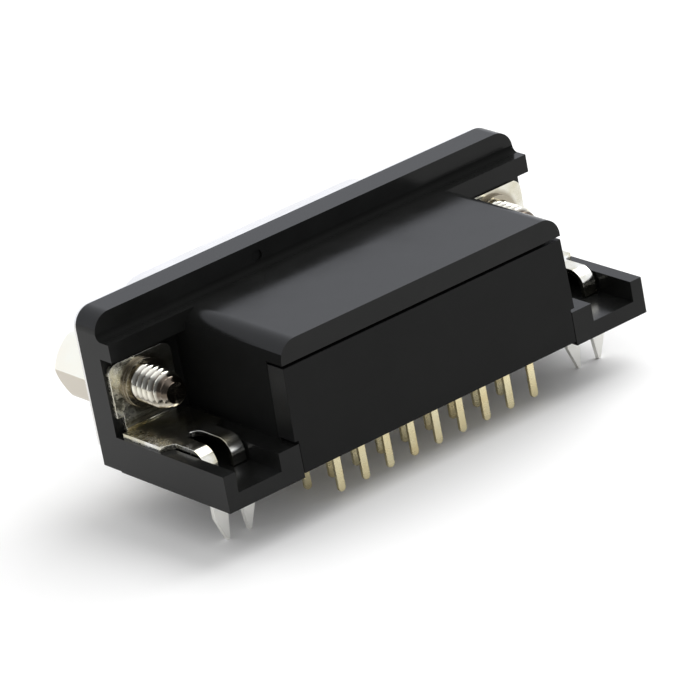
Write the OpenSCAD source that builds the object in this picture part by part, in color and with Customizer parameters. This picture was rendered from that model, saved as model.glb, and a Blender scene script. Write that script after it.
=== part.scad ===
// Right-angle high-density D-sub socket for a printed board.
// X runs along the connector, Y from the mating face to the back, Z up from the board.
// The origin lies on the board plane, midway between the two board locks.

/* [Housing] */
// Height of the flange above the board plane
flange_h = 12.35; // [12:0.05:13.5]
// Thickness of the flange
flange_t = 2.4; // [1.6:0.1:2.6]
// Radius of the flange's upper corners
flange_r = 1.5; // [0.6:0.1:2.2]
// Radius of the flange's lower corners
foot_r = 0.15; // [0.1:0.05:0.8]
// Height of the hood and of the rib across the flange's back
hood_h = 10.45; // [10.2:0.05:11]
// Radius along the hood's long upper edges
hood_r = 1.5; // [0.5:0.1:1.9]
// Thickness of the hood's side walls
hood_wall = 1.2; // [0.8:0.1:1.4]
// Gap between the upper row of strips and the hood's roof
roof_gap = 0.42; // [0.3:0.02:0.6]
// Depth of the solid web that carries the contacts
web_d = 4.8; // [4:0.1:5.2]
// How far the rib stands out behind the flange
rib_t = 1.45; // [0.8:0.05:2.2]
// Radius of the fillet between the flange's back and the top of the rib
fillet_r = 0.5; // [0.2:0.1:0.8]
// Diameter of the round gate mark on the flange's back
gate_d = 0.9; // [0.5:0.1:1]
// Depth of the gate mark
gate_t = 0.15; // [0.1:0.05:0.4]
// Distance of the gate mark from the connector's middle
gate_x = 4.76; // [2:0.02:8]
// Distance of the gate mark below the flange's upper edge
gate_drop = 0.98; // [0.8:0.02:1.2]

/* [Wings] */
// Height of the wing's outer wall
wing_h = 2.85; // [2.6:0.05:3.2]
// Thickness of the wing's outer wall
wing_wall = 1.05; // [0.8:0.05:1.15]
// Thickness of the wing's floor
wing_floor = 1.25; // [0.8:0.05:1.5]
// How far the block beside the rear cover stays below the outer wall
block_drop = 0.2; // [0.1:0.05:0.6]
// Where the channel starts behind the flange's front face
channel_y = 4.7; // [4:0.1:6]

/* [Rear cover] */
// Thickness of the cover at its sides
cover_t = 1.91; // [1.7:0.01:2.1]
// Depth of the relief in the cover's inner face
cover_relief = 0.3; // [0.25:0.05:0.5]
// How much each side leans out from the cover's top to its shoulder
cover_flare = 0.2; // [0.1:0.05:0.3]
// Gap between the cover and the hood's roof
cover_gap = 0.25; // [0.15:0.05:0.4]
// Height of the cover's lower edge above the board
standoff = 0.33; // [0.2:0.01:0.6]
// Thickness of the tail guide at the foot of the cover
guide_t = 1.2; // [0.8:0.1:1.6]

/* [Front shell] */
// Outer width of the D-shaped skirt
shell_w = 24.66; // [24.4:0.02:24.9]
// Outer height of the D-shaped skirt
shell_h = 7.9; // [7.8:0.02:8.1]
// Outer corner radius of the skirt
shell_r = 2.6; // [2.2:0.1:3]
// Lean of the skirt's short sides in degrees
shell_lean = 10; // [8:1:12]
// Length of the skirt in front of the flange
shell_l = 5.9; // [5.6:0.1:6.4]
// Sheet thickness of the shell
shell_t = 0.4; // [0.35:0.05:0.5]
// Inner bend radius where the skirt is drawn from the sheet
draw_r = 0.35; // [0.2:0.05:0.5]
// How far the sheet stays back from the flange's ends and upper edge
shell_inset = 0.1; // [0.05:0.05:0.3]
// Height of the sheet's lower edge above the board plane
shell_foot = 0.55; // [0.3:0.05:0.8]

/* [Contacts] */
// Height of the mating face's centre above the board plane
axis_z = 6.2; // [6.1:0.05:6.4]
// Pitch of the contacts in a row
pitch = 2.29; // [2.2:0.01:2.3]
// Distance between the rows at the mating face
face_rows = 1.98; // [1.9:0.01:2.04]
// Distance between the rows of tails
tail_rows = 2.54; // [2.4:0.01:2.6]
// Distance from the flange's front face to the middle row of tails
tail_set = 10.7; // [10.2:0.05:11]
// Length of the tails below the board plane
tail_l = 3.36; // [2.8:0.02:4]
// Width of a tail
tail_w = 0.62; // [0.5:0.02:0.7]
// Thickness of a tail
tail_t = 0.3; // [0.2:0.02:0.36]
// Inner bend radius of a tail
tail_bend = 0.4; // [0.2:0.05:0.8]
// Outer diameter of the socket sleeve
sleeve_d = 1.4; // [1.3:0.02:1.5]
// Bore of the socket sleeve
socket_d = 0.8; // [0.78:0.01:0.9]
// Depth of the socket bore
socket_l = 4.6; // [3.5:0.1:5.2]
// Distance from the back of the web to the end of the sleeve
sleeve_inset = 1.2; // [0.5:0.1:1.6]
// Thickness of the insulator in front of the sleeves
face_t = 0.6; // [0.4:0.05:0.9]
// How far the insulator's face lies behind the shell's rim
face_inset = 0.3; // [0.1:0.05:0.6]
// Thickness of the insulator's foot in the flange
foot_t = 1; // [0.8:0.1:1.3]
// How far the insulator's foot reaches out behind the shell
foot_grip = 0.5; // [0.3:0.1:0.8]

/* [Board locks] */
// Distance between the two board locks and between the two jackscrews
lock_pitch = 33.3; // [33.2:0.05:33.4]
// Distance from the flange's front face to the board locks
lock_set = 11.2; // [10.6:0.05:11.4]
// Sheet thickness of a bracket
plate_t = 0.4; // [0.3:0.05:0.5]
// Width of a bracket
plate_w = 5.6; // [5.2:0.05:5.7]
// Gap between a bracket and the side of the hood
plate_side = 0.85; // [0.5:0.05:1.2]
// How far a bracket reaches above its collar
plate_rise = 0.35; // [0.1:0.05:0.5]
// Gap between a bracket's upper edge and the rib above it
plate_gap = 0.65; // [0.2:0.05:0.8]
// Radius of a bracket's upper corners
plate_r = 0.8; // [0.4:0.1:1.2]
// Depth of the flat part, from the flange's front face
plate_d = 8.2; // [7.7:0.1:8.5]
// Depth of the diagonal corners of the flat part
corner_d = 0.65; // [0.3:0.05:1]
// Inner bend radius at the foot of the upright part
plate_bend = 0.25; // [0.15:0.05:0.5]
// Width of the relief beside each end of that bend
relief_w = 0.56; // [0.3:0.02:0.7]
// Height of the relief above the bend
relief_h = 0.84; // [0.5:0.02:1.2]
// Outer bend radius of the two legs
leg_bend = 1.3; // [1:0.05:1.5]
// Distance from the bracket's middle to the inner side of a leg
leg_in = 0.64; // [0.5:0.02:0.75]
// Width of a leg
leg_w = 1.16; // [0.9:0.02:1.18]
// Length of a leg below the board plane
leg_l = 3.85; // [3.2:0.05:4.4]
// Clearance between a leg and the sides of the wing's channel
leg_gap = 0.15; // [0.1:0.01:0.2]
// Length of the pointed end of a leg
leg_point = 1.85; // [1.2:0.05:2]
// Width of the leg's tip, and its distance from the leg's inner side
leg_tip = 0.23; // [0.15:0.01:0.4]
// Outer diameter of the threaded collar
collar_d = 3.7; // [3.5:0.1:4.3]
// Length of the threaded collar behind the sheet
collar_l = 0.4; // [0.3:0.1:1.2]

/* [Jackscrews] */
// Width across the flats of the hexagon
hex_af = 4.76; // [4.5:0.02:5]
// Length of the hexagon
hex_l = 4.5; // [4.4:0.05:6]
// Turn of the hexagon about its axis in degrees
hex_turn = 8; // [0:1:59]
// Angle between the hexagon's end faces and their chamfers in degrees
hex_chamfer = 45; // [25:1:50]
// Diameter of the threaded stud and of the threaded hole in the hexagon
thread_d = 2.84; // [2.7:0.02:2.9]
// Distance from the flange's front face to the end of the stud
stud_end = 6.75; // [5.6:0.05:7.2]
// Length of the chamfer at the end of the stud
stud_chamfer = 0.5; // [0.2:0.05:0.6]
// Depth of the threaded hole in the hexagon
jack_l = 4; // [3:0.1:4.2]

/* [Hidden] */
CONTACTS = 26;
function contact_name(i) = str("contact_", i < 10 ? "0" : "", i);

$fn = 48;
CORNER_STEPS = 12;   // flat steps round each corner of the shell
BEND_STEPS = 5;      // flat steps round the bend at the shell's root
cut = 1;             // how far a cutting tool runs past the surface it cuts
bite = 0.25;         // how far shapes that are joined reach into each other
slip = 0.05;         // clearance on each side between parts that slide together
play = 0.15;         // clearance on each side around screws and beside the cover

plastic_black = [0.1, 0.1, 0.105];
nickel = [0.78, 0.76, 0.72];
gilt = [0.8, 0.72, 0.5];

// Rows: 0 is the upper row of sockets and the rear row of tails.
row_count = [9, 9, 8];
row_start = [0, row_count[0], row_count[0] + row_count[1]];
function row_of(i) = i <= row_start[1] ? 0 : i <= row_start[2] ? 1 : 2;
function row_z(row) = axis_z + (1 - row) * face_rows;
function row_y(row) = tail_set + (1 - row) * tail_rows;
function row_shift(row) = (row == 0 ? -1 : 1) * pitch / 4;
function contact_x(i) =
    let (row = row_of(i), place = i - row_start[row] - 1)
    row_shift(row) + (place - (row_count[row] - 1) / 2) * pitch;

// Widths, from the board locks outward and inward.
leg_out = leg_in + leg_w;
channel_half = leg_out + leg_gap;
channel_in = lock_pitch / 2 - channel_half;
channel_out = lock_pitch / 2 + channel_half;
flange_w = lock_pitch + 2 * (channel_half + wing_wall);
sheet_w = flange_w - 2 * shell_inset;
hood_w = lock_pitch - plate_w - 2 * plate_side;
wall_in = hood_w / 2 - hood_wall;
cover_foot_w = hood_w - 2 * play - 2 * slip;

// Heights, from the contacts and the screws outward.
block_h = wing_h - block_drop;
roof_z = row_z(0) + tail_t / 2 + roof_gap;
cover_top = roof_z - cover_gap;
plate_top = axis_z + collar_d / 2 + plate_rise;
rib_z = plate_top + plate_gap;
guide_top = standoff + guide_t;

// Depths behind the flange's front face, and the sizes of the holes.
cover_y = row_y(0) + tail_t / 2 + slip;
body_d = cover_y + cover_t;
screw_hole = thread_d + 2 * play;
sleeve_hole = sleeve_d + 2 * slip;

// The D outline: centres of its corner arcs, and its size inside the sheet.
d_top_x = shell_w / 2 - shell_r;
d_corner_z = shell_h / 2 - shell_r;
d_foot_x = d_top_x - 2 * d_corner_z * tan(shell_lean);
d_in_r = shell_r - shell_t;
d_root = shell_t + draw_r;
insulator_y = shell_l - face_inset;
insulator_foot = d_root + foot_grip;

// Moves a part from depths behind the flange's front face to the part's own frame.
module seated() {
    translate([0, -lock_set, 0]) children();
}

// Extrudes an X-Z outline along Y, from depth y0 to depth y1.
module slab(y0, y1) {
    translate([0, y1, 0]) rotate([90, 0, 0]) linear_extrude(y1 - y0) children();
}

// Extrudes a Y-Z outline along X, centred on X = 0.
module across(width) {
    translate([-width / 2, 0, 0]) rotate([90, 0, 90]) linear_extrude(width) children();
}

// A round bar or hole along Y.
module rod(x, z, d, y0, y1) {
    translate([x, y0, z]) rotate([-90, 0, 0]) cylinder(d = d, h = y1 - y0);
}

// Puts its children at both ends of the connector.
module both_ends() {
    for (side = [-1, 1]) translate([side * lock_pitch / 2, 0, 0]) children();
}

// A box given by its lowest and highest corners.
module block(low, high) {
    translate(low) cube(high - low);
}

// An upright plate outline that stands on z0, with its own upper and lower corner radii.
module plate_outline(width, z0, z1, r_top, r_foot) {
    half = width / 2;
    translate([-half, z0 + r_foot]) square([width, z1 - z0 - r_top - r_foot]);
    translate([-half + r_top, z1 - r_top - bite]) square([width - 2 * r_top, r_top + bite]);
    translate([-half + r_foot, z0]) square([width - 2 * r_foot, r_foot + bite]);
    for (side = [-1, 1]) {
        translate([side * (half - r_top), z1 - r_top]) circle(r_top);
        translate([side * (half - r_foot), z0 + r_foot]) circle(r_foot);
    }
}

// A quarter of a ring of sheet metal, from the -x direction to the -y direction.
module bend_profile(r_in, thick) {
    intersection() {
        difference() {
            circle(r_in + thick);
            circle(r_in);
        }
        translate([-r_in - thick - cut, -r_in - thick - cut]) square(r_in + thick + cut);
    }
}

// Local frame of the shell: x along the connector, y up, z forward from the flange.
module facing_forward() {
    translate([0, 0, axis_z]) rotate([90, 0, 0]) children();
}

// The D-shaped area whose corner arcs have the radius r.
module d_area(r) {
    lean_x = r * cos(shell_lean);
    lean_z = r * sin(shell_lean);
    right = [
        [d_foot_x, -d_corner_z - r],
        [d_foot_x + lean_x, -d_corner_z - lean_z],
        [d_top_x + lean_x, d_corner_z - lean_z],
        [d_top_x, d_corner_z + r]
    ];
    left = [for (k = [3:-1:0]) [-right[k][0], right[k][1]]];
    polygon(concat(right, left));
    for (side = [-1, 1]) {
        translate([side * d_top_x, d_corner_z]) circle(r);
        translate([side * d_foot_x, -d_corner_z]) circle(r);
    }
}

// Points of an arc in even steps.
function arc(x, y, r, from, to, steps) = [
    for (k = [0:steps])
        let (a = from + (to - from) * k / steps) [x + r * cos(a), y + r * sin(a)]
];

// Points of the D outline whose corner arcs have the radius r, anticlockwise from its foot.
function d_points(r) = concat(
    arc(d_foot_x, -d_corner_z, r, -90, -shell_lean, CORNER_STEPS),
    arc(d_top_x, d_corner_z, r, -shell_lean, 90, CORNER_STEPS),
    arc(-d_top_x, d_corner_z, r, 90, 180 + shell_lean, CORNER_STEPS),
    arc(-d_foot_x, -d_corner_z, r, 180 + shell_lean, 270, CORNER_STEPS)
);

// Sweeps a closed profile round the D outline: its x points out from the inner wall, its y forward.
module d_sweep(profile) {
    rings = [for (p = profile) [for (q = d_points(d_in_r + p[0])) [q[0], q[1], p[1]]]];
    n = len(rings);
    m = len(rings[0]);
    polyhedron(
        [for (ring = rings) each ring],
        [for (i = [0:n - 1], k = [0:m - 1])
            let (j = (i + 1) % n, l = (k + 1) % m) [i * m + k, j * m + k, j * m + l, i * m + l]]
    );
}

// Cross-section of the hood: walls, roof and rounded upper edges.
module hood_outline() {
    half = hood_w / 2;
    translate([-half, 0]) square([hood_w, hood_h - hood_r]);
    translate([-half + hood_r, 0]) square([hood_w - 2 * hood_r, hood_h]);
    for (side = [-1, 1]) translate([side * (half - hood_r), hood_h - hood_r]) circle(hood_r);
}

// Cross-section of the fillet, with its corner sunk into the flange and the rib.
module fillet_outline() {
    difference() {
        translate([-bite, -bite]) square(fillet_r + bite);
        translate([fillet_r, fillet_r]) circle(fillet_r);
    }
}

// One wing: floor, outer wall and the block beside the cover, on the +X end.
module wing() {
    outer = flange_w / 2;
    inner = hood_w / 2 - play;
    back = flange_t - bite;
    block([inner, back, 0], [outer, body_d, wing_floor]);
    block([channel_out, back, 0], [outer, body_d, wing_h]);
    block([inner, back, 0], [channel_in, body_d, block_h]);
    block([inner, back, 0], [outer, channel_y, wing_h]);
}

// Slots in a wing's floor that the two legs of a board lock pass through.
module leg_slots() {
    for (side = [-1, 1])
        translate([side * (leg_in + leg_w / 2) - leg_w / 2 - slip, lock_set - plate_t / 2 - play, -cut])
            cube([leg_w + 2 * slip, plate_t + 2 * play, wing_floor + 2 * cut]);
}

module housing() {
    color(plastic_black) seated() difference() {
        union() {
            slab(0, flange_t) plate_outline(flange_w, 0, flange_h, flange_r, foot_r);
            slab(flange_t - bite, flange_t + rib_t)
                translate([-flange_w / 2, rib_z]) square([flange_w, hood_h - rib_z]);
            across(flange_w) translate([flange_t, hood_h]) fillet_outline();
            slab(flange_t - bite, body_d) hood_outline();
            for (flip = [0, 1]) mirror([flip, 0, 0]) wing();
        }
        // the room behind the web, open at the bottom
        block([-wall_in, web_d, -cut], [wall_in, body_d + cut, roof_z]);
        // the seat of the rear cover
        block([-hood_w / 2 + play, cover_y, -cut], [hood_w / 2 - play, body_d + cut, roof_z]);
        for (side = [-1, 1])
            translate([side * hood_w / 2, cover_y, block_h])
                translate([-play - cut, 0, 0]) cube([2 * play + 2 * cut, body_d, roof_z - block_h]);
        rod(gate_x, flange_h - gate_drop, gate_d, flange_t - gate_t, flange_t + cut);
        // the seat of the contact insulator and the passages of the contacts
        translate([0, foot_t, 0]) facing_forward()
            linear_extrude(foot_t + cut) d_area(d_in_r + insulator_foot + slip);
        for (i = [1:CONTACTS])
            rod(contact_x(i), row_z(row_of(i)), sleeve_hole, 0, web_d + cut);
        both_ends() {
            rod(0, axis_z, screw_hole, -cut, flange_t + cut);
            leg_slots();
        }
    }
}

// Outline of the rear cover: shoulders that lean out, and a narrow foot between the wings.
module cover_outline() {
    top = hood_w / 2 - slip;
    shoulder = top + cover_flare;
    foot = cover_foot_w / 2;
    shoulder_z = wing_h + slip;
    polygon([
        [-foot, standoff], [foot, standoff], [foot, shoulder_z], [shoulder, shoulder_z],
        [top, cover_top], [-top, cover_top], [-shoulder, shoulder_z], [-foot, shoulder_z]
    ]);
}

module rear_cover() {
    guide_x = wall_in - play;
    guide_y = row_y(2) - tail_rows / 2;
    color(plastic_black) seated() difference() {
        union() {
            slab(cover_y, body_d) cover_outline();
            block([-guide_x, guide_y, standoff], [guide_x, cover_y + bite, guide_top]);
        }
        block([-guide_x, cover_y - cut, guide_top], [guide_x, cover_y + cover_relief, cover_top + cut]);
        for (i = [1:CONTACTS])
            translate([contact_x(i), row_y(row_of(i)), standoff + guide_t / 2])
                cube([tail_w + 2 * slip, tail_t + 2 * slip, guide_t + 2 * cut], center = true);
    }
}

// Cross-section of the drawn shell: the skirt, the bend at its root and a grip in the flange plate.
function shell_profile() = concat(
    [[0, shell_l]],
    arc(d_root, d_root, d_root, 180, 270, BEND_STEPS),
    [[d_root + bite, 0], [d_root + bite, shell_t]],
    arc(d_root, d_root, draw_r, 270, 180, BEND_STEPS),
    [[shell_t, shell_l]]
);

module front_shell() {
    color(nickel) seated() {
        facing_forward() d_sweep(shell_profile());
        difference() {
            slab(-shell_t, 0)
                plate_outline(sheet_w, shell_foot, flange_h - shell_inset, flange_r, flange_r);
            facing_forward() translate([0, 0, -cut])
                linear_extrude(3 * cut) d_area(d_in_r + d_root + bite / 2);
            both_ends() rod(0, axis_z, screw_hole, -cut - shell_t, cut);
        }
    }
}

module contact_insulator() {
    color(plastic_black) seated() difference() {
        facing_forward() {
            linear_extrude(insulator_y) d_area(d_in_r - slip);
            translate([0, 0, -foot_t]) linear_extrude(foot_t) d_area(d_in_r + insulator_foot);
        }
        for (i = [1:CONTACTS]) {
            x = contact_x(i);
            z = row_z(row_of(i));
            rod(x, z, sleeve_hole, face_t - insulator_y, foot_t + cut);
            rod(x, z, socket_d + 4 * slip, -insulator_y - cut, foot_t);
        }
    }
}

// One contact: a drilled sleeve in front, and a strip that bends down into its tail.
module contact(i) {
    row = row_of(i);
    z = row_z(row);
    y = row_y(row);
    front = face_t + slip - insulator_y;
    back = web_d - sleeve_inset;
    turn = tail_bend + tail_t / 2;
    color(gilt) seated() translate([contact_x(i), 0, 0]) {
        difference() {
            rod(0, z, sleeve_d, front, back);
            rod(0, z, socket_d, front - cut, front + socket_l);
        }
        across(tail_w) {
            translate([back, z - tail_t / 2]) square([y - turn - back, tail_t]);
            translate([y - turn, z - turn]) mirror([1, 1]) bend_profile(tail_bend, tail_t);
        }
        slab(y - tail_t / 2, y + tail_t / 2) {
            translate([-tail_w / 2, tail_w / 2 - tail_l]) square([tail_w, z - turn + tail_l - tail_w / 2]);
            translate([0, tail_w / 2 - tail_l]) circle(tail_w / 2);
        }
    }
}

// Plan of a bracket's flat part: a plate that narrows to two straps with a round slot between.
module bracket_plan() {
    half = plate_w / 2;
    start = flange_t + plate_t + plate_bend;
    strap_end = lock_set + plate_t / 2 - leg_bend;
    difference() {
        union() {
            polygon([
                [-half, start], [half, start], [half, plate_d - corner_d],
                [leg_out, plate_d], [-leg_out, plate_d], [-half, plate_d - corner_d]
            ]);
            translate([-leg_out, plate_d - bite]) square([2 * leg_out, strap_end - plate_d + bite]);
        }
        translate([0, plate_d]) circle(leg_in);
        translate([-leg_in, plate_d]) square([2 * leg_in, strap_end]);
    }
}

// Outline of a bracket's upright part, with a relief beside each end of its bend.
module bracket_upright() {
    bend_z = wing_h + plate_t + plate_bend;
    difference() {
        plate_outline(plate_w, bend_z - plate_r, plate_top, plate_r, plate_r);
        translate([-plate_w, bend_z - 2 * plate_r]) square([2 * plate_w, 2 * plate_r]);
        for (side = [-1, 1])
            translate([side * plate_w / 2 - relief_w, bend_z - cut]) square([2 * relief_w, cut + relief_h]);
    }
}

// A leg's outline: straight sides down to a one-sided point.
module leg_outline(top) {
    shoulder = leg_point - leg_l;
    polygon([
        [leg_in, top], [leg_out, top], [leg_out, shoulder], [leg_in + 2 * leg_tip, -leg_l],
        [leg_in + leg_tip, -leg_l], [leg_in, shoulder]
    ]);
}

module bracket() {
    back = flange_t + plate_t;
    bend_z = wing_h + plate_t + plate_bend;
    bend_w = plate_w - 2 * relief_w;
    leg_top = wing_h + plate_t - leg_bend;
    leg_y = lock_set + plate_t / 2;
    difference() {
        union() {
            slab(flange_t, back) bracket_upright();
            across(bend_w) translate([back + plate_bend, bend_z]) bend_profile(plate_bend, plate_t);
            translate([0, 0, wing_h]) linear_extrude(plate_t) bracket_plan();
            for (side = [0, 1]) mirror([side, 0, 0]) {
                translate([leg_in + leg_w / 2, leg_y - leg_bend, leg_top])
                    across(leg_w) mirror([1, 1]) bend_profile(leg_bend - plate_t, plate_t);
                slab(leg_y - plate_t, leg_y) leg_outline(leg_top);
            }
            rod(0, axis_z, collar_d, flange_t, back + collar_l);
        }
        rod(0, axis_z, thread_d + slip, flange_t - cut, back + collar_l + cut);
    }
}

module bracket_left() {
    color(nickel) seated() translate([lock_pitch / 2, 0, 0]) bracket();
}

module bracket_right() {
    color(nickel) seated() translate([-lock_pitch / 2, 0, 0]) bracket();
}

// A hexagon with a threaded hole in front and a threaded stud behind.
module jackscrew() {
    hex_d = hex_af / cos(30);
    spread = 2 * hex_l / tan(hex_chamfer);
    translate([0, 0, axis_z]) difference() {
        union() {
            intersection() {
                translate([0, -shell_t, 0]) rotate([90, 0, 0]) rotate([0, 0, hex_turn])
                    cylinder(d = hex_d, h = hex_l, $fn = 6);
                translate([0, -shell_t - hex_l, 0]) rotate([-90, 0, 0])
                    cylinder(d1 = hex_af, d2 = hex_af + spread, h = hex_l);
                translate([0, -shell_t, 0]) rotate([90, 0, 0])
                    cylinder(d1 = hex_af, d2 = hex_af + spread, h = hex_l);
            }
            rod(0, 0, thread_d, -shell_t - bite, stud_end - stud_chamfer);
            translate([0, stud_end - stud_chamfer, 0]) rotate([-90, 0, 0])
                cylinder(d1 = thread_d, d2 = thread_d - 2 * stud_chamfer, h = stud_chamfer);
        }
        rod(0, 0, thread_d, -shell_t - hex_l - cut, jack_l - shell_t - hex_l);
    }
}

module jackscrew_left() {
    color(nickel) seated() translate([lock_pitch / 2, 0, 0]) jackscrew();
}

module jackscrew_right() {
    color(nickel) seated() translate([-lock_pitch / 2, 0, 0]) jackscrew();
}

housing();
rear_cover();
front_shell();
contact_insulator();
bracket_left();
bracket_right();
jackscrew_left();
jackscrew_right();
for (i = [1:CONTACTS]) contact(i);
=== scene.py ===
"""Right-angle D-sub connector on a plain pale floor, in soft studio light.

Lengths are named in millimetres and multiplied by MM where they are used, except where a comment says otherwise.
"""
import math

import bmesh
import bpy
from mathutils import Matrix, Vector

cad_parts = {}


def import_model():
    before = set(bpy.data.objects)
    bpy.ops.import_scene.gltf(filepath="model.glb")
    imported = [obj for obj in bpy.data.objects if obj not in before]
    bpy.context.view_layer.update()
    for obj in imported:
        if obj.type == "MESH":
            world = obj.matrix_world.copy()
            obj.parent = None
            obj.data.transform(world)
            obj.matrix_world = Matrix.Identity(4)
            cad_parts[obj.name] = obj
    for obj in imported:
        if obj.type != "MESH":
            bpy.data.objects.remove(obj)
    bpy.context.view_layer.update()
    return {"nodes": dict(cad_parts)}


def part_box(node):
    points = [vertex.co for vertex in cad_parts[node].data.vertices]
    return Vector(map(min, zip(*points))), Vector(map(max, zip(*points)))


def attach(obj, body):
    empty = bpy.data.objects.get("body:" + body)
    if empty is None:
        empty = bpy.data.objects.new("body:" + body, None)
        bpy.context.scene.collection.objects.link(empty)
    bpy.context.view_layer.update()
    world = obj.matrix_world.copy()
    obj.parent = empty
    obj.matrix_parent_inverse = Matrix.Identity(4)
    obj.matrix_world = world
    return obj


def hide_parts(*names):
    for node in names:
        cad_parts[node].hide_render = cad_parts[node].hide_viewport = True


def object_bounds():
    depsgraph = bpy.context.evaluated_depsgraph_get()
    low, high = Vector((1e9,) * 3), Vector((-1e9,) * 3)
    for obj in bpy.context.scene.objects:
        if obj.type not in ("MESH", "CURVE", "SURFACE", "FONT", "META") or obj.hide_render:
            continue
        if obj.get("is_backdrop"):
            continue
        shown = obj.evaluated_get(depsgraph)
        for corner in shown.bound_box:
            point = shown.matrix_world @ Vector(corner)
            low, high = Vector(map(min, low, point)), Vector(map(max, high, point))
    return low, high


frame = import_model()

MM = 0.001
SCENE = bpy.context.scene
NODES = frame["nodes"]


# ---------------------------------------------------------------- camera
AZIMUTH, ELEVATION, ROLL = 145.913, 22.442, -10.815  # degrees
DISTANCE = 406.05
SENSOR, LENS = 36, 284.61
AIM = Vector((0.33, -5.766, 2.706))


def camera():
    a, e = math.radians(AZIMUTH), math.radians(ELEVATION)
    back = Vector((math.sin(a) * math.cos(e), -math.cos(a) * math.cos(e), math.sin(e)))
    data = bpy.data.cameras.new("camera")
    data.sensor_width = SENSOR
    data.lens = LENS
    data.clip_start, data.clip_end = 0.01, 10  # metres
    cam = bpy.data.objects.new("camera", data)
    SCENE.collection.objects.link(cam)
    level = (-back).to_track_quat("-Z", "Y").to_matrix().to_4x4()
    roll = Matrix.Rotation(math.radians(ROLL), 4, "Z")
    cam.matrix_world = Matrix.Translation((AIM + back * DISTANCE) * MM) @ level @ roll
    SCENE.camera = cam


# ---------------------------------------------------------------- node helpers
def rgb(r, g, b):
    return (r, g, b, 1.0)


def grey(value):
    return rgb(value, value, value)


class Nodes:
    """The node tree of a material, the world or a geometry group, built one node at a time."""

    def __init__(self, tree):
        self.tree = tree
        tree.nodes.clear()

    def node(self, kind, sockets=None, **settings):
        """Adds a node; sockets maps input names or numbers to plain values, or to outputs that are linked."""
        n = self.tree.nodes.new(kind)
        for key, value in settings.items():
            setattr(n, key, value)
        for key, value in (sockets or {}).items():
            if hasattr(value, "is_output"):
                self.tree.links.new(value, n.inputs[key])
            else:
                n.inputs[key].default_value = value
        return n

    def math(self, operation, *values):
        return self.node("ShaderNodeMath", dict(enumerate(values)), operation=operation).outputs[0]

    def split(self, vector):
        return self.node("ShaderNodeSeparateXYZ", {0: vector}).outputs

    def noise(self, where, scale, detail):
        """Noise between 0 and 1; scale is in waves a metre."""
        return self.node("ShaderNodeTexNoise", {"Vector": where, "Scale": scale, "Detail": detail}).outputs["Fac"]

    def remap(self, value, low, high, to_low=0.0, to_high=1.0, curve="LINEAR"):
        return self.node("ShaderNodeMapRange", {
            "Value": value, "From Min": low, "From Max": high, "To Min": to_low, "To Max": to_high},
            interpolation_type=curve).outputs["Result"]

    def mix(self, factor, a, b):
        """Mixes two colours."""
        return self.node("ShaderNodeMix", {0: factor, 6: a, 7: b}, data_type="RGBA").outputs[2]

    def blend(self, factor, a, b):
        """Mixes two numbers."""
        return self.node("ShaderNodeMix", {0: factor, 2: a, 3: b}, data_type="FLOAT").outputs[0]

    def bump(self, height, strength, distance, normal=None):
        sockets = {"Height": height, "Strength": strength, "Distance": distance * MM}
        if normal is not None:
            sockets["Normal"] = normal
        return self.node("ShaderNodeBump", sockets).outputs["Normal"]


def shader(owner):
    """Empties the node tree of a new material or world, and gives it back to build in."""
    owner.use_nodes = True
    return Nodes(owner.node_tree)


def principled(s, sockets):
    bsdf = s.node("ShaderNodeBsdfPrincipled", sockets)
    s.node("ShaderNodeOutputMaterial", {"Surface": bsdf.outputs["BSDF"]})


# ---------------------------------------------------------------- materials
SCREW = sum(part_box("jackscrew_left"), Vector()) / 2  # metres; its axis runs along Y


def plastic(name, shade, rough, grain, specular):
    """Black moulded plastic: fine grain, and patches of slightly different gloss."""
    mat = bpy.data.materials.new(name)
    s = shader(mat)
    where = s.node("ShaderNodeTexCoord").outputs["Object"]
    patches = s.noise(where, scale=350, detail=3)
    fine = s.noise(where, scale=9000, detail=2)
    dark = rgb(shade * 0.7, shade * 0.72, shade * 0.68)
    light = rgb(shade * 1.3, shade * 1.33, shade * 1.28)
    normal = s.bump(fine, grain, 0.004)
    normal = s.bump(patches, 0.2, 0.008, normal)
    principled(s, {
        "Base Color": s.mix(patches, dark, light),
        "Roughness": s.remap(patches, 0.3, 0.7, rough - 0.04, rough + 0.04),
        "Specular IOR Level": specular, "IOR": 1.45, "Normal": normal})
    return mat


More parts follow.
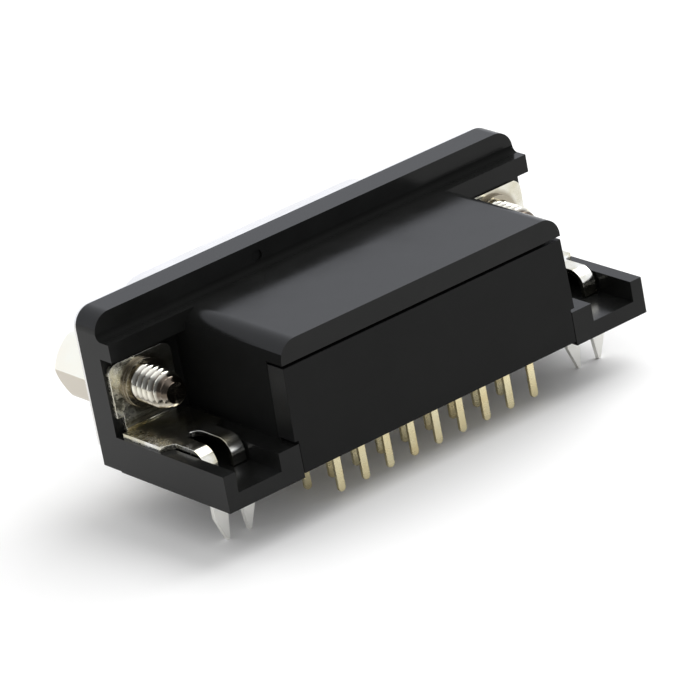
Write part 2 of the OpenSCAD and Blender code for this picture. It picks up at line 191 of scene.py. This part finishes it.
def plating(name, pale, warm, rough, scratch, near_axis=None, under_shade=None, lit_foot=None, spots=None):
    """Plated metal: warm and pale patches, fine scratches and a soft sheen.

    near_axis: darker colour near a screw's axis, and the radii between which it ends; on the jackscrews it is
    painted shade in the thread roots.
    under_shade: painted shade, a darker colour for faces turned down.
    lit_foot: painted light, a brighter colour below the board plane, and the roughness there.
    spots: roughness of dull spots, and the distances from the middle between which they come in.
    """
    mat = bpy.data.materials.new(name)
    s = shader(mat)
    where = s.node("ShaderNodeTexCoord").outputs["Object"]
    stretched = s.node("ShaderNodeMapping", {"Vector": where, "Scale": (400, 9000, 9000)}).outputs["Vector"]
    patches = s.noise(where, scale=500, detail=3)
    lines = s.noise(stretched, scale=1, detail=3)
    pits = s.noise(where, scale=6000, detail=2)
    normal = s.bump(lines, scratch, 0.002)
    normal = s.bump(pits, scratch, 0.002, normal)
    colour = s.mix(s.remap(patches, 0.35, 0.65), rgb(*pale), rgb(*warm))
    polish = s.remap(lines, 0.3, 0.7, rough * 0.7, rough * 1.3)
    place = s.split(where)
    side = s.math("ABSOLUTE", place["X"])
    if spots:
        dull, low, high = spots
        outer = s.remap(side, low * MM, high * MM)
        spot = s.remap(s.noise(where, scale=2600, detail=4), 0.45, 0.6)
        polish = s.mix(s.math("MULTIPLY", outer, spot), polish, grey(dull))
    # Darker near a screw's axis; on the jackscrews this is painted shade in the thread roots.
    if near_axis:
        shade, low, high = near_axis
        across, up = s.math("SUBTRACT", side, SCREW.x), s.math("SUBTRACT", place["Z"], SCREW.z)
        flat = s.node("ShaderNodeCombineXYZ", {"X": across, "Y": up}).outputs[0]
        radius = s.node("ShaderNodeVectorMath", {0: flat}, operation="LENGTH").outputs["Value"]
        colour = s.mix(s.remap(radius, low * MM, high * MM), rgb(*shade), colour)
    # Painted shade: faces turned down get a darker colour, standing in for the floor's shadow reflected in them.
    if under_shade:
        turned = s.split(s.node("ShaderNodeNewGeometry").outputs["Normal"])
        colour = s.mix(s.remap(turned["Z"], -0.3, 0.05), rgb(*under_shade), colour)
    # Painted light: below the board plane the lock legs get a brighter colour, without the warm patches.
    if lit_foot:
        shade, dull = lit_foot
        above = s.remap(place["Z"], -0.2 * MM, 0.2 * MM)
        colour = s.mix(above, rgb(*shade), colour)
        polish = s.mix(above, grey(dull), polish)
    principled(s, {"Base Color": colour, "Metallic": 1.0, "Roughness": polish, "Normal": normal})
    return mat


PLASTICS = {
    "housing_plastic": dict(shade=0.0095, rough=0.2, grain=0.35, specular=0.25),
    "cover_plastic": dict(shade=0.0065, rough=0.38, grain=0.5, specular=0.17),
    "insulator_plastic": dict(shade=0.008, rough=0.4, grain=0.4, specular=0.2),
    # Painted shade: a matt, darker copy of the housing plastic with almost no gloss, for recess ends and the flange
    # fillet.
    "shaded_recess_plastic": dict(shade=0.0085, rough=0.6, grain=0.5, specular=0.03),
}
PLATINGS = {
    "shell_plating": dict(pale=(0.93, 0.92, 0.9), warm=(0.88, 0.87, 0.84), rough=0.28, scratch=0.2),
    # Below the board plane the lock legs get a brighter colour: painted light.
    "bracket_nickel": dict(
        pale=(0.97, 0.96, 0.9), warm=(0.66, 0.62, 0.46), rough=0.17, scratch=0.4,
        near_axis=((0.42, 0.38, 0.3), 1.95, 2.3), lit_foot=((1.0, 0.99, 0.94), 0.6), spots=(0.4, 17.4, 19.6)),
    # Its darker colour near the axis is painted shade in the thread roots.
    "jackscrew_nickel": dict(
        pale=(1.0, 0.985, 0.86), warm=(1.0, 0.96, 0.82), rough=0.16, scratch=0.25,
        # Faces turned down get painted shade.
        near_axis=((0.16, 0.13, 0.1), 1.1, 1.34), under_shade=(0.65, 0.595, 0.5)),
    "contact_plating": dict(pale=(1.0, 0.91, 0.6), warm=(0.98, 0.84, 0.49), rough=0.24, scratch=0.25),
}
MATERIALS = {name: plastic(name, **look) for name, look in PLASTICS.items()}
MATERIALS.update({name: plating(name, **look) for name, look in PLATINGS.items()})


# ---------------------------------------------------------------- CAD nodes
SHARP = math.radians(40)  # edges sharper than this stay sharp, or get a small bevel
RECESS = 13.6  # faces of the housing turned to either end get the painted-shade plastic when nearer to the middle than this


def geometry_group(name):
    """A geometry node group, as its nodes and the geometry that comes in."""
    group = bpy.data.node_groups.new(name, "GeometryNodeTree")
    for direction in ("INPUT", "OUTPUT"):
        group.interface.new_socket("Geometry", in_out=direction, socket_type="NodeSocketGeometry")
    g = Nodes(group)
    return g, g.node("NodeGroupInput").outputs[0]


def smooth_group():
    """Shades faces smooth, except across sharp edges."""
    g, mesh = geometry_group("smooth_by_angle")
    angle = g.node("GeometryNodeInputMeshEdgeAngle").outputs["Unsigned Angle"]
    blunt = g.node("FunctionNodeCompare", {"A": angle, "B": SHARP}, operation="LESS_THAN").outputs["Result"]
    mesh = g.node("GeometryNodeSetShadeSmooth", {"Geometry": mesh}).outputs[0]
    mesh = g.node("GeometryNodeSetShadeSmooth", {"Geometry": mesh, "Shade Smooth": blunt}, domain="EDGE").outputs[0]
    g.node("NodeGroupOutput", {0: mesh})
    return g.tree


def shaded_sides_group():
    """Gives painted shade, a matt and darker copy of the housing plastic with almost no gloss, to the end faces of
    the housing's recesses and to the fillet along its flange.
    """
    g, mesh = geometry_group("shaded_sides")
    normal = g.split(g.node("GeometryNodeInputNormal").outputs[0])
    place = g.split(g.node("GeometryNodeInputPosition").outputs[0])
    turned = g.math("GREATER_THAN", g.math("ABSOLUTE", normal["X"]), 0.9)
    inside = g.math("LESS_THAN", g.math("ABSOLUTE", place["X"]), RECESS * MM)
    side = g.math("MULTIPLY", turned, inside)
    fillet = g.math("MULTIPLY", *(g.math("GREATER_THAN", normal[axis], 0.03) for axis in ("Y", "Z")))
    # These faces get the painted-shade plastic.
    matt = g.math("MAXIMUM", side, fillet)
    mesh = g.node("GeometryNodeSetMaterial", {
        "Geometry": mesh, "Selection": matt, "Material": MATERIALS["shaded_recess_plastic"]}).outputs[0]
    g.node("NodeGroupOutput", {0: mesh})
    return g.tree


SMOOTH, SHADED_SIDES = smooth_group(), shaded_sides_group()


def dress(name, slot, bevel=0.0, sides=None):
    """Gives a CAD node its material, clean faces and softened edges."""
    obj = NODES[name]
    obj.data.materials.clear()
    obj.data.materials.append(MATERIALS[slot])
    weld = obj.modifiers.new("weld", "WELD")
    weld.merge_threshold = 0.0005 * MM
    flat = obj.modifiers.new("flat", "DECIMATE")
    flat.decimate_type = "DISSOLVE"
    flat.angle_limit = math.radians(0.5)
    if sides:
        obj.modifiers.new("sides", "NODES").node_group = sides
    obj.modifiers.new("smooth", "NODES").node_group = SMOOTH
    if bevel:
        edge = obj.modifiers.new("bevel", "BEVEL")
        edge.width = bevel * MM
        edge.segments = 2
        edge.limit_method = "ANGLE"
        edge.angle_limit = SHARP
    even = obj.modifiers.new("even", "WEIGHTED_NORMAL")
    even.weight = 100
    even.keep_sharp = True


# ---------------------------------------------------------------- jackscrews
HEX_TURN = 8  # degrees
HEX_FLAT = 4.76 / 2
HEX_CORNER = 2.71  # radius at which the hexagon's corners are broken
EDGE = 0.03  # the hexagon's end faces are rounded off this far inside its flats
SHEET = 0.4  # the shell, between the hexagon and the housing
STUD_R, HOLE_R, HOLE_L = 1.42, 1.42, 4.0
HOLE_LIP, HOLE_FLARE, HOLE_RUNOUT = 0.02, 0.3, 0.7
THREAD_PITCH, THREAD_DEPTH = 0.635, 0.34
CREST, FLANK = 0.1, 0.75  # parts of half a pitch
END_R, END_DIMPLE = 0.8, 0.08
TAPER = 0.35  # the stud narrows by this much a millimetre towards its end
STEPS = 72  # round the axis


def hexagon(turn):
    """Radius of the hexagon at a fraction of a turn from one of its corners, with the corner just broken."""
    return min(HEX_FLAT / math.cos(math.radians(360 * turn % 60 - 30)), HEX_CORNER)


def thread(turn, y, outer):
    """Radius of a right-hand thread with narrow crests, at a fraction of a turn and a place along the axis."""
    ramp = abs(2 * ((y / THREAD_PITCH + turn) % 1.0) - 1)
    return outer - THREAD_DEPTH * min(1.0, max(0.0, (ramp - CREST) / FLANK))


def jackscrew(side):
    """A chamfered hexagon with a threaded hole in front and a threaded stud behind, in the CAD node's place."""
    node = "jackscrew_" + side
    low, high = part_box(node)
    centre = (low + high) / 2
    front, back = low.y / MM, high.y / MM
    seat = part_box("housing")[0].y / MM - SHEET
    mesh = bmesh.new()
    rings = []

    def ring(radius, depth):
        """Adds vertices round the axis; radius and depth are numbers, or functions of the fraction of a turn."""
        verts = []
        for k in range(STEPS):
            t = k / STEPS
            r = radius(t) if callable(radius) else radius
            y = depth(t) if callable(depth) else depth
            a = 2 * math.pi * t + math.radians(HEX_TURN)
            verts.append(mesh.verts.new((centre.x + r * math.cos(a) * MM, y * MM, centre.z + r * math.sin(a) * MM)))
        rings.append(verts)

    def cap(around, y):
        """Closes a ring with a fan of faces to a point on the axis."""
        tip = mesh.verts.new((centre.x, y * MM, centre.z))
        for k in range(STEPS):
            mesh.faces.new((tip, around[k], around[(k + 1) % STEPS]))

    fine = THREAD_PITCH / 10
    for k in range(round((HOLE_L - HOLE_RUNOUT) / fine), -1, -1):
        y = front + HOLE_LIP + k * fine
        flare = max(0.0, HOLE_FLARE - k * fine)
        ring(lambda t: min(HOLE_R, thread(t, y, HOLE_R) + flare), y)
    ring(HOLE_R + HOLE_LIP, front)
    ring(HEX_FLAT - EDGE, front)
    ring(hexagon, lambda t: front + hexagon(t) - HEX_FLAT + EDGE)
    ring(hexagon, lambda t: seat - hexagon(t) + HEX_FLAT - EDGE)
    ring(HEX_FLAT - EDGE, seat)
    ring(STUD_R, seat)
    for k in range(1, math.ceil((back - seat) / fine)):
        y = seat + k * fine
        ring(lambda t: thread(t, y, min(STUD_R, END_R + THREAD_DEPTH / 2 + TAPER * (back - y))), y)
    ring(END_R, back)

    for near, far in zip(rings, rings[1:]):
        for k in range(STEPS):
            mesh.faces.new((near[k], far[k], far[(k + 1) % STEPS], near[(k + 1) % STEPS]))
    cap(rings[0], front + HOLE_L)
    cap(rings[-1], back - END_DIMPLE)
    for face in mesh.faces:
        face.smooth = True
    bmesh.ops.recalc_face_normals(mesh, faces=mesh.faces)
    data = bpy.data.meshes.new("threaded_" + side)
    mesh.to_mesh(data)
    mesh.free()
    data.materials.append(MATERIALS["jackscrew_nickel"])
    obj = bpy.data.objects.new("threaded_" + side, data)
    SCENE.collection.objects.link(obj)
    obj.modifiers.new("smooth", "NODES").node_group = SMOOTH
    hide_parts(node)
    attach(obj, "root")


# ---------------------------------------------------------------- stage
FLOOR_HALF = 1500
FLOOR_GAP = 0.02  # between the floor and the tips of the lock legs
FLOOR_LIT, FLOOR_MIRRORED, FLOOR_SEEN = 0.85, 0.8, 1.0  # colour for light, reflections and the camera
SKY_LIT, SKY_SEEN = 0.75, 1.0  # strength for light and the camera
SKY_MIRRORED = (0.95, 0.975, 1.05)  # colour in reflections
ROOM = Vector((0.52, 0.82, 0.25))  # direction of the room's darker part, which only reflections see
ROOM_INNER, ROOM_OUTER, ROOM_LEVEL = 25, 55, 0.15  # degrees from that direction, and its strength
LAMP_AT, LAMP_SIZE, LAMP_POWER = Vector((-300, -40, 380)), 500, 1.8  # watts


def reflected(s, ray):
    """1 for rays that reach the eye by way of metal, gloss or glass."""
    return s.math("MAXIMUM", ray["Is Glossy Ray"], ray["Is Transmission Ray"])


def stage(floor_z):
    """A pale floor that keeps the object's shadow."""
    mesh = bpy.data.meshes.new("floor")
    half = FLOOR_HALF * MM
    corners = [(-half, -half, floor_z), (half, -half, floor_z), (half, half, floor_z), (-half, half, floor_z)]
    mesh.from_pydata(corners, [], [(0, 1, 2, 3)])
    floor = bpy.data.objects.new("floor", mesh)
    SCENE.collection.objects.link(floor)
    mat = bpy.data.materials.new("floor")
    s = shader(mat)
    ray = s.node("ShaderNodeLightPath").outputs
    paper = s.mix(reflected(s, ray), grey(FLOOR_LIT), grey(FLOOR_MIRRORED))
    paper = s.mix(ray["Is Camera Ray"], paper, grey(FLOOR_SEEN))
    matt = s.node("ShaderNodeBsdfDiffuse", {"Color": paper}).outputs[0]
    s.node("ShaderNodeOutputMaterial", {"Surface": matt})
    mesh.materials.append(mat)
    floor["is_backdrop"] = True


def world():
    """White studio light from all round, with a darker part of the room behind the camera."""
    studio = bpy.data.worlds.new("studio")
    s = shader(studio)
    ray = s.node("ShaderNodeLightPath").outputs
    mirrored = reflected(s, ray)
    where = s.node("ShaderNodeTexCoord").outputs["Generated"]
    towards = s.node("ShaderNodeVectorMath", {0: where, 1: ROOM.normalized()}, operation="DOT_PRODUCT")
    outer, inner = (math.cos(math.radians(angle)) for angle in (ROOM_OUTER, ROOM_INNER))
    room = s.remap(towards.outputs["Value"], outer, inner, 1.0, ROOM_LEVEL, curve="SMOOTHSTEP")
    level = s.blend(mirrored, s.blend(ray["Is Camera Ray"], SKY_LIT, SKY_SEEN), room)
    tint = s.mix(mirrored, grey(1.0), rgb(*SKY_MIRRORED))
    sky = s.node("ShaderNodeBackground", {"Color": tint, "Strength": level})
    s.node("ShaderNodeOutputWorld", {"Surface": sky.outputs[0]})
    SCENE.world = studio


def lamp():
    """One soft square lamp over the connector's right front, turned to the origin."""
    data = bpy.data.lights.new("overhead", "AREA")
    data.shape = "SQUARE"
    data.size = LAMP_SIZE * MM
    data.energy = LAMP_POWER
    overhead = bpy.data.objects.new("overhead", data)
    overhead.location = LAMP_AT * MM
    overhead.rotation_mode = "QUATERNION"
    overhead.rotation_quaternion = (-LAMP_AT).to_track_quat("-Z", "Y")
    SCENE.collection.objects.link(overhead)


# ---------------------------------------------------------------- the scene
camera()
dress("housing", "housing_plastic", bevel=0.025, sides=SHADED_SIDES)
dress("rear_cover", "cover_plastic", bevel=0.02)
dress("front_shell", "shell_plating")
dress("contact_insulator", "insulator_plastic", bevel=0.05)
for side in ("left", "right"):
    dress("bracket_" + side, "bracket_nickel", bevel=0.02)
    jackscrew(side)
for name in NODES:
    if name.startswith("contact_") and name != "contact_insulator":
        dress(name, "contact_plating", bevel=0.04)

stage(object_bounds()[0].z - FLOOR_GAP * MM)
world()
lamp()
SCENE.view_settings.view_transform = "Standard"
